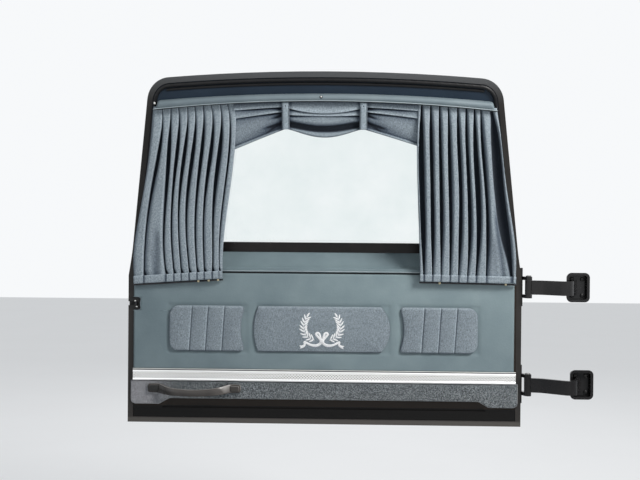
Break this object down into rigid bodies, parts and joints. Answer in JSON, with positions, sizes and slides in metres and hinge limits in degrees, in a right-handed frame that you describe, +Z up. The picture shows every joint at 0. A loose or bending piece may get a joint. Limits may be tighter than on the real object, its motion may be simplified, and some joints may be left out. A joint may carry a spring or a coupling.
{
  "type": "hearse rear door",
  "caption": "Side-hinged rear door of a hearse, open on two gooseneck hinges, with window, gathered curtains, valance, padded panels, pull handle and latch.",
  "frame": {"origin": "middle of the lower hinge's bolt pattern, on the back face of its pocket", "axes": "+X along the open door towards its hinges, +Y away from the trimmed side and out of the hinge pocket's back, +Z up"},
  "size_m": [1.587, 0.2624, 1.173],
  "materials": {
    "paint": "gloss black coach paint",
    "frame_paint": "gloss blue-black paint",
    "window": "lightly tinted clear glass",
    "surround": "black reveal",
    "seal": "black sealing rubber",
    "trim": "blue-grey grained leatherette",
    "cloth": "blue-grey melange cloth",
    "carpet": "dark speckled carpet",
    "bright": "bright moulding with a fine knurl",
    "black_plastic": "gloss black moulding",
    "rod_steel": "dark rod with small clips",
    "latch_steel": "plated steel",
    "latch_black": "black zinc",
    "hinge_paint": "gloss black paint",
    "handle_chrome": "polished chrome",
    "pin_steel": "plain steel"
  },
  "bodies": {
    "pillar_hinges": {"hinge_pocket_lower": "hinge_paint", "hinge_pocket_upper": "hinge_paint", "hinge_arm_lower": "hinge_paint", "hinge_arm_upper": "hinge_paint"},
    "door": {"outer_shell": "paint", "inner_frame": "frame_paint", "window_glass": "window", "window_surround": "surround", "weather_seal": "seal", "window_ledge": "trim", "trim_panel": "trim", "side_pad_left": "cloth", "side_pad_right": "cloth", "centre_pad": "cloth", "bright_strip": "bright", "kick_strip": "carpet", "pull_handle": "black_plastic", "handle_cap_left": "black_plastic", "handle_cap_right": "black_plastic", "head_rail": "trim", "valance_centre": "cloth", "valance_left": "cloth", "valance_right": "cloth", "valance_tab_left": "cloth", "valance_tab_right": "cloth", "curtain_left": "cloth", "curtain_right": "cloth", "curtain_rod_left": "rod_steel", "curtain_rod_right": "rod_steel", "latch_case": "latch_black", "latch_claw": "latch_steel", "handle_dish": "black_plastic", "outer_handle": "handle_chrome", "lock_barrel": "latch_steel", "hinge_leaf_lower": "hinge_paint", "hinge_leaf_upper": "hinge_paint", "hinge_pin_lower": "pin_steel", "hinge_pin_upper": "pin_steel"}
  },
  "joints": [
    {"name": "door_swing", "type": "hinge", "parent": "pillar_hinges", "child": "door", "pos_m": [-0.186, -0.045, 0.165], "axis": [0, 0, 1], "range_deg": [0, 110]}
  ]
}
